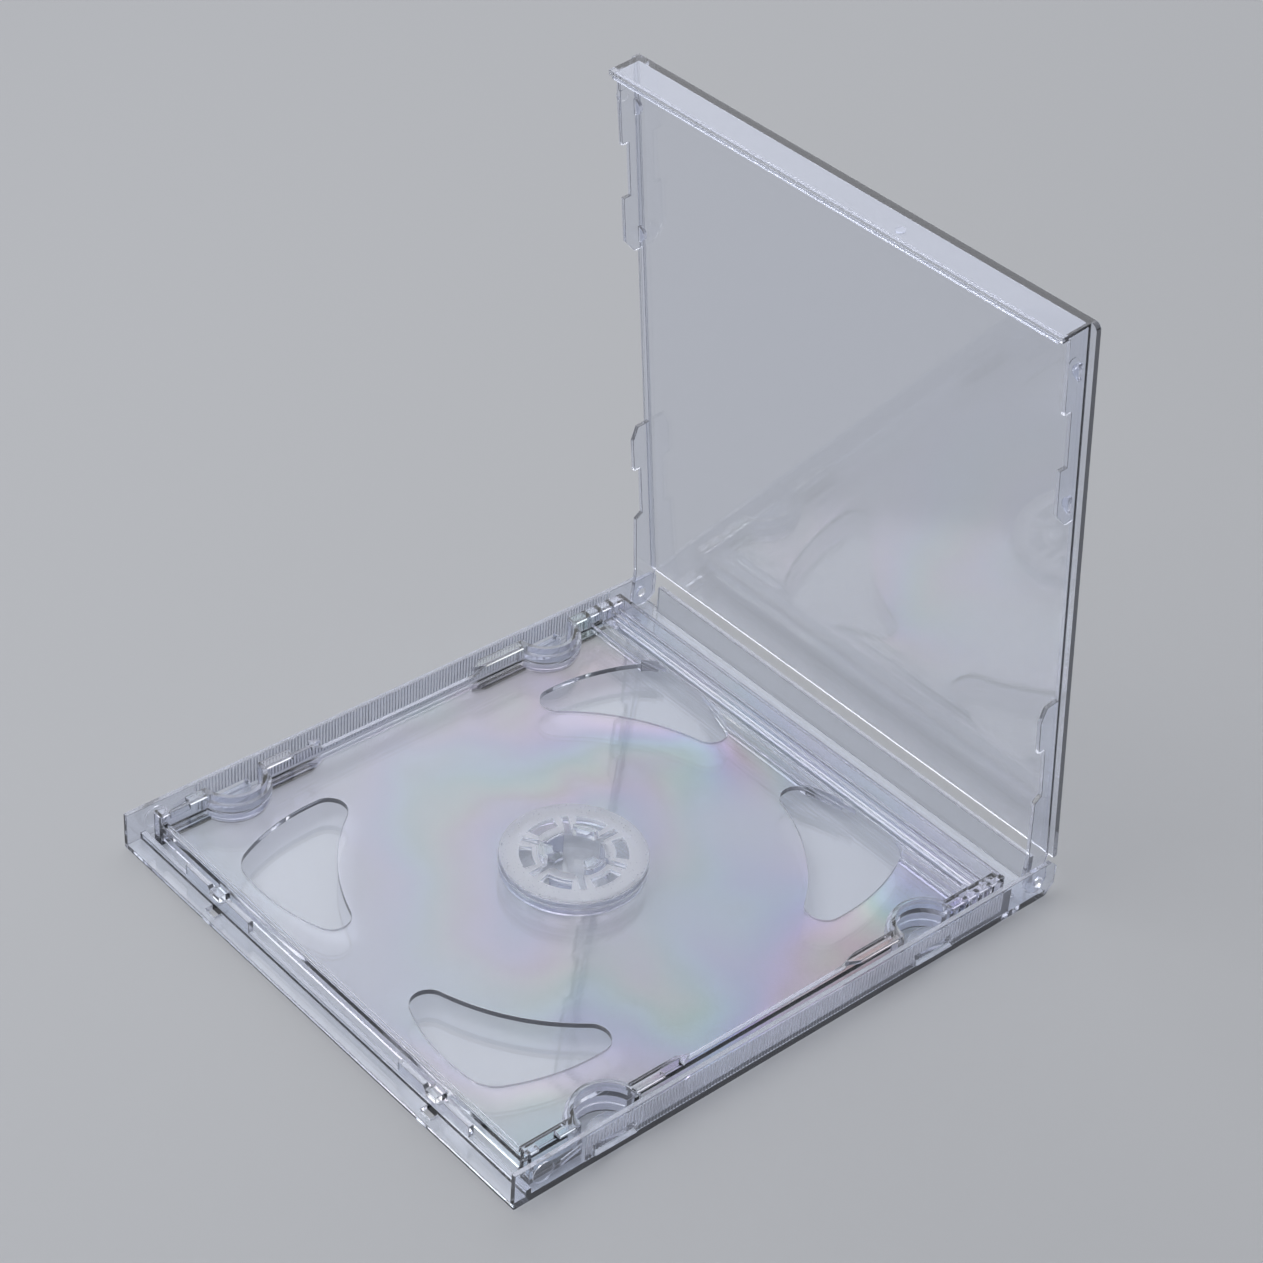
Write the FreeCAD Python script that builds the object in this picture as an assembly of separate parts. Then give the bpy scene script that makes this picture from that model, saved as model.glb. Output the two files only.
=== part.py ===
import FreeCAD, Part
import math
import os

from FreeCAD import Vector

# Hinged clear case for two discs: a base, a lid on two pins and a two-sided disc tray.
# Lengths are in millimetres. X runs from the opening edge to the spine, Y across, Z up.
# The origin is the middle of the base's underside.

# Whole case, closed
case_length = 142.0
case_width = 124.5
case_height = 10.2
opening_edge_x = -case_length / 2
spine_x = case_length / 2

# Walls and clearances
floor_thickness = 1.2
plate_thickness = 1.2
side_wall_thickness = 1.1
lid_over_wall_gap = 0.3
ear_to_wall_gap = 0.35
ear_to_rail_gap = 0.45
tray_lid_gap = 0.35

# Lid hinge
hinge_from_spine = 5.0
hinge_pin_diameter = 2.4
hinge_radial_clearance = 0.06
hinge_arm_radius = 3.1
hinge_arm_neck_share = 2.2
hinge_arm_neck_drop = 0.6
hinge_arm_back_share = 0.3
hinge_arm_side_share = 0.95
lid_open_angle = 83.2
lid_plate_to_hinge = 4.4

# Lid
ear_thickness = 1.0
lid_corner_radius = 1.5
end_wall_thickness = 1.2
end_wall_bottom_z = 1.9
end_wall_lip = 0.5
ear_bottom_z = 3.9
ear_notch_z = 5.7
ear_notch_inset = 0.1
ear_notch_slope = 1.0
front_ear_past_notch = 20.2
front_ear_bevel = (3.4, 2.4)
rear_ear_before_notch = 17.6
rear_ear_bevel = (3.2, 1.5)
end_wall_nub_radius = 1.0
end_wall_nub_height = 0.5
end_wall_nub_y = -17.0
side_rib_depth = 0.5
booklet_tab_radius = 1.8
booklet_tab_thickness = 0.8
booklet_tab_gap = 0.9
booklet_tab_from_edge = (10.4, 40.8)
booklet_tab_clearance = 0.6
tab_sink = 0.3
latch_bump_radius = 1.3
latch_bump_height = 0.22

# Base
front_wall_inset = 3.2
front_wall_thickness = 1.2
front_wall_height = 2.7
front_rim_height = 5.3
front_rim_length = 21.4
front_notch_radius = 3.2
spine_wall_inset = 2.0
spine_wall_thickness = 1.2
spine_wall_height = 7.6
spine_wall_end_gap = 2.8
latch_dimple_radius = 2.5
latch_dimple_depth = 0.5
latch_from_edge = 7.0
latch_ramp_gap = 1.6
latch_ramp_length = 5.0
latch_ramp_drop = 1.0
latch_ramp_rise = 1.4
latch_ramp_start_height = 1.6
latch_ramp_end_height = 1.4
wall_end_foot_inset = 0.2
wall_end_top_inset = 1.6
wall_end_bevel_share = 0.5
wall_end_shoulder_share = 0.42
card_tab_radius = 5.0
card_tab_thickness = 0.9
wall_window_length = 10.2
wall_window_bottom_z = 1.5
wall_window_top_z = 3.2
wall_rib_pitch = 0.8
wall_rib_depth = 0.25
wall_rib_margin_z = 0.6
wall_rib_from_edge = 16.6
wall_rib_from_spine = 13.0
front_hole_width = 3.0
front_hole_depth = 1.7
rear_hole_length = 2.0
rear_hole_width = 2.4
rear_hole_wall_gap = 2.75
rear_hole_from_spine = (12.3, 9.1)

# Tray
tray_front_gap = 0.9
tray_spine_gap = 9.2
panel_thickness = 1.2
rail_width = 2.6
rail_wall_thickness = 1.1
rail_flange_thickness = 1.0
plain_rail_drop = 1.8
rail_ramp_length = 3.0
rail_rib_pitch = 3.4
rail_rib_count = 4
front_bar_width = 1.4
tongue_width = 3.2
tongue_thickness = 1.6
tongue_length = 2.7
tongue_clearance = 0.3
tongue_from_side = 27.75
notch_radius = 6.4
notch_wall_thickness = 1.0
notch_step_width = 0.8
notch_step_drop = 1.6
notch_from_edge = 24.4
notch_from_spine = 34.4
raised_rail_length = 15.0
end_bar_width = 2.8
end_bar_half_height = 1.5
slot_width = 2.0
slot_end_margin = 3.2
slot_to_ridge_gap = 0.4
bar_to_slot_gap = 0.6
relief_into_rail_wall = 0.15
ridge_pitch = 1.8
ridge_width = 0.8
ridge_count = 2

# Finger openings in the tray panel, as rounded three-sided holes under the disc's edge.
# Their arcs are shares of the disc's radius, measured from the hub.
opening_inner_share = 0.79167
opening_rail_side_share = 0.73333
opening_rail_side_centre = (-0.53667, 0.02167)
opening_end_side_share = 0.7
opening_end_side_centre = (-0.22667, 0.495)
opening_tip_share = 0.065
opening_corner_share = 0.10833
spine_opening_extra = 1.2

# Room for the disc
disc_side_gap = 2.25
disc_front_gap = 0.9
disc_edge_gap = 0.15
disc_thickness = 1.2

# Disc hub
hub_from_tray_middle = 1.25
platform_radius = 15.2
platform_half_height = 2.1
platform_rim_width = 1.2
platform_plate_thickness = 1.0
window_outer_radius = 11.1
window_inner_radius = 8.6
finger_outer_radius = 7.3
finger_thickness = 1.1
finger_count = 6
finger_arc = 44.0
finger_over_disc = 0.22
finger_root_overlap = 0.2
finger_lip_radius = 4.4
finger_lip_thickness = 0.8
finger_lip_arc = 30.8
finger_tooth = 0.25
finger_tooth_arc = 22.0
finger_tooth_height = 0.6
finger_detail_sink = 0.1
window_arc = 34.0
hub_slot_width = 1.2
hub_turn = 30.0

# Values worked out from the driving ones. A cutting shape reaches one wall past the face that it cuts.
cut_margin = side_wall_thickness
half_width = case_width / 2
wall_inner_y = half_width - side_wall_thickness
ear_outer_y = wall_inner_y - ear_to_wall_gap
ear_inner_y = ear_outer_y - ear_thickness
rail_outer_y = ear_inner_y - ear_to_rail_gap
rail_inner_y = rail_outer_y - rail_width
plate_under_z = case_height - plate_thickness
side_wall_top_z = plate_under_z - lid_over_wall_gap
hinge_x = spine_x - hinge_from_spine
hinge_z = case_height / 2
plate_end_x = hinge_x - lid_plate_to_hinge
front_wall_x = opening_edge_x + front_wall_inset
spine_wall_x = spine_x - spine_wall_inset
spine_wall_half_length = ear_inner_y - spine_wall_end_gap
tray_front_x = front_wall_x + front_wall_thickness + tray_front_gap
tray_rear_x = spine_wall_x - spine_wall_thickness - tray_spine_gap
rail_bottom_z = floor_thickness
rail_top_z = plate_under_z - tray_lid_gap
panel_mid_z = (rail_bottom_z + rail_top_z) / 2
rail_half_height = (rail_top_z - rail_bottom_z) / 2
latch_x = opening_edge_x + latch_from_edge
notch_front_x = opening_edge_x + notch_from_edge
notch_rear_x = spine_x - notch_from_spine
booklet_tab_x = [opening_edge_x + distance for distance in booklet_tab_from_edge]
rear_hole_x = [spine_x - distance for distance in rear_hole_from_spine]
wall_rib_front_x = opening_edge_x + wall_rib_from_edge
wall_rib_rear_x = spine_x - wall_rib_from_spine
tongue_y = half_width - tongue_from_side
hub_x = (tray_front_x + tray_rear_x) / 2 - hub_from_tray_middle
disc_radius = min(half_width - disc_side_gap, hub_x - tray_front_x - disc_front_gap)
under_disc_half_height = platform_half_height - disc_edge_gap
front_ear_end_x = notch_front_x + front_ear_past_notch
rear_ear_start_x = notch_rear_x - rear_ear_before_notch
ear_notch_half_length = notch_radius - ear_notch_inset
front_rail_end_x = notch_front_x + notch_radius + raised_rail_length
rear_rail_start_x = notch_rear_x - notch_radius - raised_rail_length


def box(x0, x1, y0, y1, z0, z1):
    """A block between two corners."""
    return Part.makeBox(x1 - x0, y1 - y0, z1 - z0, Vector(x0, y0, z0))


def both_sides(shape):
    """The shape and its mirror image across the case's middle plane, as a list."""
    return [shape, shape.mirror(Vector(0, 0, 0), Vector(0, 1, 0))]


def across(x, y, z, radius, y_end):
    """A round bar along Y from y to y_end."""
    length = abs(y_end - y)
    direction = Vector(0, 1 if y_end > y else -1, 0)
    return Part.makeCylinder(radius, length, Vector(x, y, z), direction)


def upright(x, y, radius, z0, z1):
    """A round bar along Z."""
    return Part.makeCylinder(radius, z1 - z0, Vector(x, y, z0))


def side_profile(points, y0, y1):
    """A flat plate in the XZ plane, from y0 to y1, with its outline given as (x, z) points."""
    corners = [Vector(x, y0, z) for x, z in points]
    outline = Part.makePolygon(corners + corners[:1])
    return Part.Face(outline).extrude(Vector(0, y1 - y0, 0))


def joined(shapes):
    """One solid from shapes that meet, with the seams between flat faces removed."""
    first, *rest = shapes
    whole = first.multiFuse(rest) if rest else first
    whole = whole.removeSplitter()
    return whole.Solids[0] if len(whole.Solids) == 1 else whole


def vertical_edges(shape, corners):
    """The upright edges of a shape that stand at the given (x, y) places."""
    found = []
    for edge in shape.Edges:
        ends = [v.Point for v in edge.Vertexes]
        if len(ends) != 2 or abs(ends[0].x - ends[1].x) + abs(ends[0].y - ends[1].y) > 1e-4:
            continue
        if any(abs(ends[0].x - x) + abs(ends[0].y - y) < 1e-3 for x, y in corners):
            found.append(edge)
    return found


# Base


def base_floor():
    """The bottom plate, with small holes at the front notches and beside the tray's spine end."""
    plate = box(opening_edge_x, spine_wall_x, -half_width, half_width, 0, floor_thickness)
    front = box(
        front_wall_x - front_hole_depth,
        front_wall_x,
        tongue_y - front_hole_width / 2,
        tongue_y + front_hole_width / 2,
        -cut_margin,
        floor_thickness + cut_margin,
    )
    holes = both_sides(front)
    hole_y = wall_inner_y - rear_hole_wall_gap
    half = rear_hole_length / 2
    for x in rear_hole_x:
        rear = box(
            x - half,
            x + half,
            hole_y - rear_hole_width,
            hole_y,
            -cut_margin,
            floor_thickness + cut_margin,
        )
        holes += both_sides(rear)
    return plate.cut(holes)


def base_side_wall():
    """One side wall with its rear end shaped so that the opened lid swings round it."""
    points = [
        (opening_edge_x, 0),
        (spine_wall_x - wall_end_foot_inset, 0),
        (spine_x, hinge_from_spine * wall_end_bevel_share),
        (spine_x, hinge_z + hinge_from_spine * wall_end_shoulder_share),
        (spine_x - wall_end_top_inset, side_wall_top_z),
        (opening_edge_x, side_wall_top_z),
    ]
    wall = side_profile(points, wall_inner_y, half_width)
    cut_start = wall_inner_y - cut_margin
    cut_end = half_width + cut_margin
    dimple_end = wall_inner_y + latch_dimple_depth
    pin_hole_radius = hinge_pin_diameter / 2 + hinge_radial_clearance
    cutters = [
        across(hinge_x, cut_start, hinge_z, pin_hole_radius, cut_end),
        across(latch_x, cut_start, hinge_z, latch_dimple_radius, dimple_end),
        latch_ramp(cut_start, dimple_end),
    ]
    for x in (notch_front_x, notch_rear_x):
        cutters.append(
            box(
                x - wall_window_length / 2,
                x + wall_window_length / 2,
                cut_start,
                cut_end,
                wall_window_bottom_z,
                wall_window_top_z,
            )
        )
    return wall.cut(cutters + [wall_rib_grooves()])


def wall_rib_grooves():
    """The grooves that leave a row of fine upright ribs on the wall's outer face."""
    count = int((wall_rib_rear_x - wall_rib_front_x) / wall_rib_pitch)
    root_y = half_width - wall_rib_depth
    cut_end = half_width + cut_margin
    z0 = floor_thickness + wall_rib_margin_z
    outline = [Vector(wall_rib_front_x, cut_end, z0)]
    for i in range(count):
        x = wall_rib_front_x + i * wall_rib_pitch
        outline.append(Vector(x, half_width, z0))
        outline.append(Vector(x + wall_rib_pitch / 2, root_y, z0))
    end_x = wall_rib_front_x + count * wall_rib_pitch
    outline += [Vector(end_x, half_width, z0), Vector(end_x, cut_end, z0)]
    comb = Part.Face(Part.makePolygon(outline + outline[:1]))
    return comb.extrude(Vector(0, 0, side_wall_top_z - wall_rib_margin_z - z0))


def latch_ramp(y0, y1):
    """The slanting lead-in beside the latch dimple, in the wall's inner face, from y0 to y1."""
    start = latch_x + latch_dimple_radius + latch_ramp_gap
    end = start + latch_ramp_length
    start_z = hinge_z - latch_ramp_drop
    end_z = start_z + latch_ramp_rise
    points = [
        (start, start_z),
        (end, end_z),
        (end, end_z + latch_ramp_end_height),
        (start, start_z + latch_ramp_start_height),
    ]
    return side_profile(points, y0, y1)


def half_round_tab(x, y, radius, z0, z1):
    """A flat half-round tab that stands out from a wall's inner face at y, and is sunk a little into it."""
    reach = 2 * radius
    tab = upright(x, y, radius, z0, z1)
    return tab.cut(box(x - reach, x + reach, y + tab_sink, y + reach, 0, case_height))


def card_tab(x):
    """A half-round tab on the side wall that holds the card down on the floor."""
    top = wall_window_top_z + card_tab_thickness
    return half_round_tab(x, wall_inner_y, card_tab_radius, wall_window_top_z, top)


def base_front_wall():
    """The low wall behind the opening edge, with two higher rims that are notched for the tray's tongues."""
    back_x = front_wall_x + front_wall_thickness
    wall = box(front_wall_x, back_x, -wall_inner_y, wall_inner_y, 0, front_wall_height)
    rim = box(
        front_wall_x,
        back_x,
        tongue_y - front_rim_length / 2,
        tongue_y + front_rim_length / 2,
        0,
        front_rim_height,
    )
    notch_edge_z = panel_mid_z - tongue_thickness / 2 - tongue_clearance
    notch_rise = math.sqrt(front_notch_radius**2 - (tongue_width / 2) ** 2)
    start = Vector(front_wall_x - cut_margin, tongue_y, notch_edge_z + notch_rise)
    length = front_wall_thickness + 2 * cut_margin
    notch = Part.makeCylinder(front_notch_radius, length, start, Vector(1, 0, 0))
    rims = both_sides(rim)
    notches = both_sides(notch)
    return wall.fuse(rims).cut(notches)


def base_spine_wall():
    """The upright wall at the spine, between the lid's two hinge arms."""
    return box(
        spine_wall_x - spine_wall_thickness,
        spine_wall_x,
        -spine_wall_half_length,
        spine_wall_half_length,
        0,
        spine_wall_height,
    )


def make_base():
    """The base moulding."""
    walls = both_sides(base_side_wall())
    tabs = both_sides(card_tab(notch_front_x)) + both_sides(card_tab(notch_rear_x))
    return joined([base_floor(), base_front_wall(), base_spine_wall()] + walls + tabs)


# Lid, drawn closed and then swung open


def lid_plate():
    """The flat cover plate with rounded corners at its free edge."""
    plate = box(opening_edge_x, plate_end_x, -half_width, half_width, plate_under_z, case_height)
    corners = [(opening_edge_x, half_width), (opening_edge_x, -half_width)]
    return plate.makeFillet(lid_corner_radius, vertical_edges(plate, corners))


def lid_end_wall():
    """The wall along the free edge, which closes in front of the base's front wall, with a thicker lip."""
    wall = box(
        opening_edge_x,
        opening_edge_x + end_wall_thickness,
        -ear_outer_y,
        ear_outer_y,
        end_wall_bottom_z,
        plate_under_z,
    )
    lip = box(
        opening_edge_x,
        opening_edge_x + end_wall_thickness + end_wall_lip,
        -ear_inner_y,
        ear_inner_y,
        end_wall_bottom_z,
        end_wall_bottom_z + plate_thickness,
    )
    nub_z = (end_wall_bottom_z + plate_under_z) / 2
    nub_start = Vector(opening_edge_x + end_wall_thickness, end_wall_nub_y, nub_z)
    nub = Part.makeCylinder(end_wall_nub_radius, end_wall_nub_height, nub_start, Vector(1, 0, 0))
    return wall.fuse([lip, nub])


def front_ear():
    """The side ear next to the free edge, notched over the base's card tab."""
    notch_start = notch_front_x - ear_notch_half_length
    notch_end = notch_front_x + ear_notch_half_length
    bevel_length, bevel_height = front_ear_bevel
    points = [
        (opening_edge_x, plate_under_z),
        (opening_edge_x, ear_bottom_z),
        (notch_start, ear_bottom_z),
        (notch_start, ear_notch_z),
        (notch_end, ear_notch_z),
        (notch_end, ear_bottom_z),
        (front_ear_end_x - bevel_length, ear_bottom_z),
        (front_ear_end_x, ear_bottom_z + bevel_height),
        (front_ear_end_x, plate_under_z),
    ]
    return side_profile(points, ear_inner_y, ear_outer_y)


def rear_ear():
    """The side ear at the hinge, which narrows to the round arm that carries the pin."""
    notch_start = notch_rear_x - ear_notch_half_length
    notch_end = notch_rear_x + ear_notch_half_length
    bevel_length, bevel_height = rear_ear_bevel
    arm_back_x = hinge_x - hinge_arm_radius * hinge_arm_back_share
    arm_half_height = hinge_arm_radius * hinge_arm_side_share
    points = [
        (rear_ear_start_x, plate_under_z),
        (rear_ear_start_x, ear_bottom_z + bevel_height),
        (rear_ear_start_x + bevel_length, ear_bottom_z),
        (notch_start, ear_bottom_z),
        (notch_start, ear_notch_z),
        (notch_end, ear_notch_z),
        (notch_end + ear_notch_slope, ear_bottom_z),
        (hinge_x - hinge_arm_radius * hinge_arm_neck_share, ear_bottom_z - hinge_arm_neck_drop),
        (arm_back_x, hinge_z - arm_half_height),
        (hinge_x, hinge_z),
        (arm_back_x, hinge_z + arm_half_height),
        (plate_end_x, plate_under_z),
    ]
    ear = side_profile(points, ear_inner_y, ear_outer_y)
    arm = across(hinge_x, ear_inner_y, hinge_z, hinge_arm_radius, ear_outer_y)
    pin = across(hinge_x, ear_outer_y, hinge_z, hinge_pin_diameter / 2, half_width)
    return ear.fuse([arm, pin])


def side_rib():
    """The shallow rib that stiffens the plate between the two ears."""
    return box(
        front_ear_end_x,
        rear_ear_start_x,
        ear_inner_y,
        ear_outer_y,
        plate_under_z - side_rib_depth,
        plate_under_z,
    )


def booklet_tab(x):
    """A half-round tab on the ear that holds the booklet against the plate."""
    top = plate_under_z - booklet_tab_gap
    return half_round_tab(x, ear_inner_y, booklet_tab_radius, top - booklet_tab_thickness, top)


def latch_bump():
    """The low round bump on the ear that faces the base's latch dimple."""
    return across(latch_x, ear_outer_y, hinge_z, latch_bump_radius, ear_outer_y + latch_bump_height)


def make_lid():
    """The lid moulding, swung open about the hinge line."""
    side = [front_ear(), rear_ear(), side_rib(), latch_bump()]
    side += [booklet_tab(x) for x in booklet_tab_x]
    parts = [lid_plate(), lid_end_wall()]
    for shape in side:
        parts += both_sides(shape)
    lid = joined(parts)
    lid.rotate(Vector(hinge_x, 0, hinge_z), Vector(0, 1, 0), lid_open_angle)
    return lid


# Tray


def tray_panel():
    """The flat panel that lies between the two discs."""
    return box(
        tray_front_x,
        tray_rear_x,
        -rail_inner_y,
        rail_inner_y,
        panel_mid_z - panel_thickness / 2,
        panel_mid_z + panel_thickness / 2,
    )


def rail_wall():
    """The inner wall of one side rail, lower along its plain middle part."""
    low = rail_half_height - plain_rail_drop
    up = [
        (tray_front_x, rail_half_height),
        (front_rail_end_x - rail_ramp_length, rail_half_height),
        (front_rail_end_x, low),
        (rear_rail_start_x, low),
        (rear_rail_start_x + rail_ramp_length, rail_half_height),
        (tray_rear_x, rail_half_height),
    ]
    points = [(x, panel_mid_z + h) for x, h in up]
    points += [(x, panel_mid_z - h) for x, h in reversed(up)]
    return side_profile(points, rail_inner_y, rail_inner_y + rail_wall_thickness)


def rail_flange(x0, x1, ramp_at_end):
    """The flat top and bottom of a raised rail stretch, with a slanting tip on its inner end."""
    shapes = []
    tip = x1 if ramp_at_end else x0
    back = tip - rail_ramp_length if ramp_at_end else tip + rail_ramp_length
    far = x0 if ramp_at_end else x1
    for z0 in (rail_top_z - rail_flange_thickness, rail_bottom_z):
        corners = [
            Vector(far, rail_inner_y, z0),
            Vector(far, rail_outer_y, z0),
            Vector(back, rail_outer_y, z0),
            Vector(tip, rail_inner_y + rail_wall_thickness, z0),
            Vector(back, rail_inner_y, z0),
        ]
        face = Part.Face(Part.makePolygon(corners + corners[:1]))
        shapes.append(face.extrude(Vector(0, 0, rail_flange_thickness)))
    return shapes


def rail_ribs():
    """Short cross ribs inside the rail's channel at the spine end."""
    ribs = []
    for i in range(rail_rib_count):
        x1 = tray_rear_x - i * rail_rib_pitch
        ribs.append(
            box(
                x1 - rail_flange_thickness,
                x1,
                rail_inner_y,
                rail_outer_y,
                rail_bottom_z,
                rail_top_z,
            )
        )
    return ribs


def side_rail():
    """One side rail: a channel open to the outside at both ends and a bare wall between them."""
    parts = [rail_wall()]
    parts += rail_flange(tray_front_x, front_rail_end_x, True)
    parts += rail_flange(rear_rail_start_x, tray_rear_x, False)
    parts += rail_ribs()
    parts.append(
        box(
            tray_front_x,
            tray_front_x + rail_flange_thickness,
            rail_inner_y,
            rail_outer_y,
            rail_bottom_z,
            rail_top_z,
        )
    )
    return parts


def notch_wall(x):
    """The round wall of a finger notch, with a lower step outside it."""
    step_half = rail_half_height - notch_step_drop
    outer = notch_radius + notch_wall_thickness
    reach = 2 * outer
    wall = upright(x, rail_outer_y, outer, rail_bottom_z, rail_top_z)
    step_radius = outer + notch_step_width
    step = upright(x, rail_outer_y, step_radius, panel_mid_z - step_half, panel_mid_z + step_half)
    both = wall.fuse(step)
    return both.cut(box(x - reach, x + reach, rail_outer_y, rail_outer_y + reach, 0, case_height))


def notch_hole(x):
    """The open space of a finger notch, through rail and panel."""
    return upright(x, rail_outer_y, notch_radius, 0, case_height)


def tab_relief(x):
    """The cut in the rail's top that lets the closed lid's booklet tab in."""
    reach = booklet_tab_radius + booklet_tab_clearance
    return box(
        x - reach,
        x + reach,
        rail_inner_y + rail_wall_thickness - relief_into_rail_wall,
        rail_outer_y + cut_margin,
        plate_under_z - booklet_tab_gap - booklet_tab_thickness - booklet_tab_clearance,
        case_height,
    )


def finger_opening(extra):
    """One finger opening beside the disc's edge, with its end side moved outwards by extra."""
    height = case_height
    reach = 2 * disc_radius
    rail_x, rail_y = [share * disc_radius for share in opening_rail_side_centre]
    end_x, end_y = [share * disc_radius for share in opening_end_side_centre]
    rail_side = upright(hub_x + rail_x, rail_y, opening_rail_side_share * disc_radius, 0, height)
    end_side = upright(hub_x + end_x - extra, end_y, opening_end_side_share * disc_radius, 0, height)
    inner = upright(hub_x, 0, opening_inner_share * disc_radius, -cut_margin, height + cut_margin)
    quarter = box(hub_x - reach, hub_x, 0, reach, 0, height)
    hole = rail_side.common([end_side]).common([quarter]).cut([inner])
    uprights = [e for e in hole.Edges if e.BoundBox.ZLength > height - 0.01 and e.BoundBox.XLength < 0.01]
    places = [(e.Vertexes[0].X, e.Vertexes[0].Y) for e in uprights]
    corner = min(places, key=lambda place: place[0] - place[1])
    tips = [place for place in places if place is not corner]
    hole = hole.makeFillet(opening_corner_share * disc_radius, vertical_edges(hole, [corner]))
    return hole.makeFillet(opening_tip_share * disc_radius, vertical_edges(hole, tips))


def finger_openings():
    """All four finger openings: two at the opening end and two, turned round, at the spine end."""
    spine_side = finger_opening(spine_opening_extra).mirror(Vector(hub_x, 0, 0), Vector(1, 0, 0))
    return both_sides(finger_opening(0.0)) + both_sides(spine_side)


def front_edge():
    """The bar along the tray's opening edge and the two tongues that rest in the base's notches."""
    bar = box(
        tray_front_x,
        tray_front_x + front_bar_width,
        -rail_inner_y,
        rail_inner_y,
        panel_mid_z - under_disc_half_height,
        panel_mid_z + under_disc_half_height,
    )
    tongue = box(
        tray_front_x - tongue_length,
        tray_front_x + front_bar_width,
        tongue_y - tongue_width / 2,
        tongue_y + tongue_width / 2,
        panel_mid_z - tongue_thickness / 2,
        panel_mid_z + tongue_thickness / 2,
    )
    return [bar] + both_sides(tongue)


def spine_strip():
    """The bar behind the panel and the long ridges and end wall of the spine strip."""
    wall_start = tray_rear_x - rail_flange_thickness
    parts = [
        box(
            wall_start,
            tray_rear_x,
            -rail_inner_y,
            rail_inner_y,
            rail_bottom_z,
            rail_top_z,
        )
    ]
    for i in range(ridge_count):
        x1 = wall_start - ridge_pitch + ridge_width - i * ridge_pitch
        parts.append(
            box(
                x1 - ridge_width,
                x1,
                -rail_inner_y,
                rail_inner_y,
                panel_mid_z - under_disc_half_height,
                panel_mid_z + under_disc_half_height,
            )
        )
    bar_end = slot_start_x() - bar_to_slot_gap
    parts.append(
        box(
            bar_end - end_bar_width,
            bar_end,
            -rail_inner_y,
            rail_inner_y,
            panel_mid_z - end_bar_half_height,
            panel_mid_z + end_bar_half_height,
        )
    )
    return parts


def slot_start_x():
    """Where the long slot between the bar and the ridges begins."""
    strip_start = tray_rear_x - rail_flange_thickness - ridge_pitch * ridge_count
    return strip_start - slot_width - slot_to_ridge_gap


def spine_slot():
    """The long slot through the tray in front of the ridges."""
    start = slot_start_x()
    end_y = rail_inner_y - slot_end_margin
    return box(start, start + slot_width, -end_y, end_y, 0, case_height)


def hub_platform():
    """The raised disc rest: a rim, a thin upper plate and an inner ring below it."""
    low = panel_mid_z - platform_half_height
    high = panel_mid_z + platform_half_height
    rim = upright(hub_x, 0, platform_radius, low, high)
    rim = rim.cut(upright(hub_x, 0, platform_radius - platform_rim_width, 0, case_height))
    plate = upright(hub_x, 0, platform_radius - platform_rim_width / 2, high - platform_plate_thickness, high)
    return [rim, plate]


def sector(inner, outer, arc, z0, z1):
    """A piece of a ring about the Z axis at the origin, centred on the X axis."""
    low = z0 - cut_margin
    high = z1 + cut_margin
    ring = upright(0, 0, outer, z0, z1).cut(upright(0, 0, inner, low, high))
    reach = 2 * outer
    half = math.radians(arc / 2)
    corners = [
        Vector(0, 0, low),
        Vector(reach * math.cos(half), -reach * math.sin(half), low),
        Vector(reach * math.cos(half), reach * math.sin(half), low),
    ]
    wedge = Part.Face(Part.makePolygon(corners + corners[:1])).extrude(Vector(0, 0, high - low))
    return ring.common(wedge)


def at_hub(shape, angle):
    """The shape turned about Z and carried to the hub's centre."""
    placed = shape.copy()
    placed.rotate(Vector(0, 0, 0), Vector(0, 0, 1), angle)
    placed.translate(Vector(hub_x, 0, 0))
    return placed


def hub_fingers():
    """Six springy fingers: every second one grips the upper disc, the others the lower one."""
    high = panel_mid_z + platform_half_height
    low = panel_mid_z - platform_half_height
    plate_low = high - platform_plate_thickness
    top = high + disc_thickness + finger_over_disc
    bottom = low - disc_thickness - finger_over_disc
    inner = finger_outer_radius - finger_thickness
    lip_edge = inner + finger_detail_sink
    tooth_root = finger_outer_radius - finger_detail_sink
    tooth_edge = finger_outer_radius + finger_tooth
    up_finger = sector(inner, finger_outer_radius, finger_arc, plate_low, top)
    up_lip = sector(finger_lip_radius, lip_edge, finger_lip_arc, top - finger_lip_thickness, top)
    up_tooth = sector(tooth_root, tooth_edge, finger_tooth_arc, top - finger_tooth_height, top)
    down_finger = sector(inner, finger_outer_radius, finger_arc, bottom, high)
    down_lip = sector(finger_lip_radius, lip_edge, finger_lip_arc, bottom, bottom + finger_lip_thickness)
    down_tooth = sector(tooth_root, tooth_edge, finger_tooth_arc, bottom, bottom + finger_tooth_height)
    step = 360.0 / finger_count
    shapes = []
    for i in range(finger_count):
        kind = [up_finger, up_lip, up_tooth] if i % 2 == 0 else [down_finger, down_lip, down_tooth]
        shapes += [at_hub(shape, hub_turn + i * step) for shape in kind]
    return shapes


def hub_cuts():
    """The windows, the thin radial slots, the open middle and the gaps between the fingers."""
    high = panel_mid_z + platform_half_height
    z0 = high - platform_plate_thickness - cut_margin
    z1 = high + cut_margin
    step = 360.0 / finger_count
    middle_radius = finger_outer_radius - finger_root_overlap
    window = sector(window_inner_radius, window_outer_radius, window_arc, z0, z1)
    half_slot = hub_slot_width / 2
    slot = box(middle_radius - cut_margin, window_outer_radius, -half_slot, half_slot, z0, z1)
    cuts = [upright(hub_x, 0, middle_radius, z0, z1)]
    for i in range(finger_count):
        cuts.append(at_hub(window, hub_turn + i * step))
        cuts.append(at_hub(slot, hub_turn + (i + 0.5) * step))
    return cuts


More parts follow.
